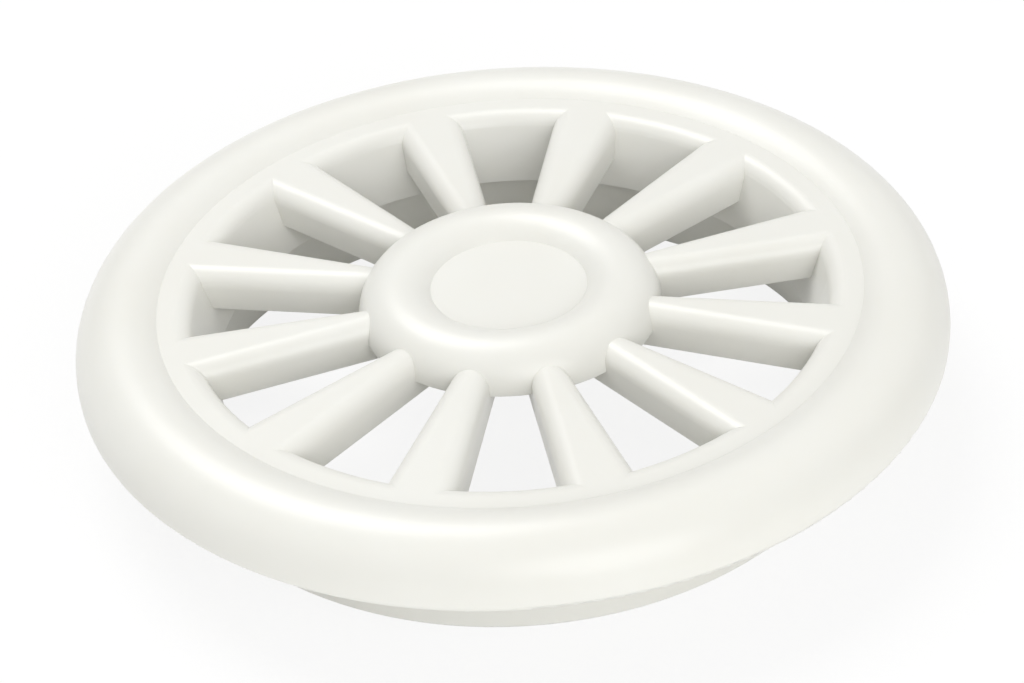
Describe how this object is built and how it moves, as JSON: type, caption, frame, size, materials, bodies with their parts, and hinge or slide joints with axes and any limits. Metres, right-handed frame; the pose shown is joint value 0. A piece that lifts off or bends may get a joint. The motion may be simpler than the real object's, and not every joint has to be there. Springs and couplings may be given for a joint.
{
  "type": "round vent grille",
  "caption": "Round push-in vent grille: a broad round-edged face ring, radial slots around a closed hub, and a thin spigot behind that fits a round hole in a panel.",
  "frame": {"origin": "centre of the seat, the plane on the back of the face ring that lies on the panel", "axes": "+Z out of the face towards the room, the spigot along -Z, a slot centred on +X"},
  "size_m": [0.087, 0.087, 0.0166],
  "materials": {
    "white_plastic": "soft gloss, white, slightly translucent"
  },
  "bodies": {
    "root": {"grille": "white_plastic"}
  },
  "joints": []
}
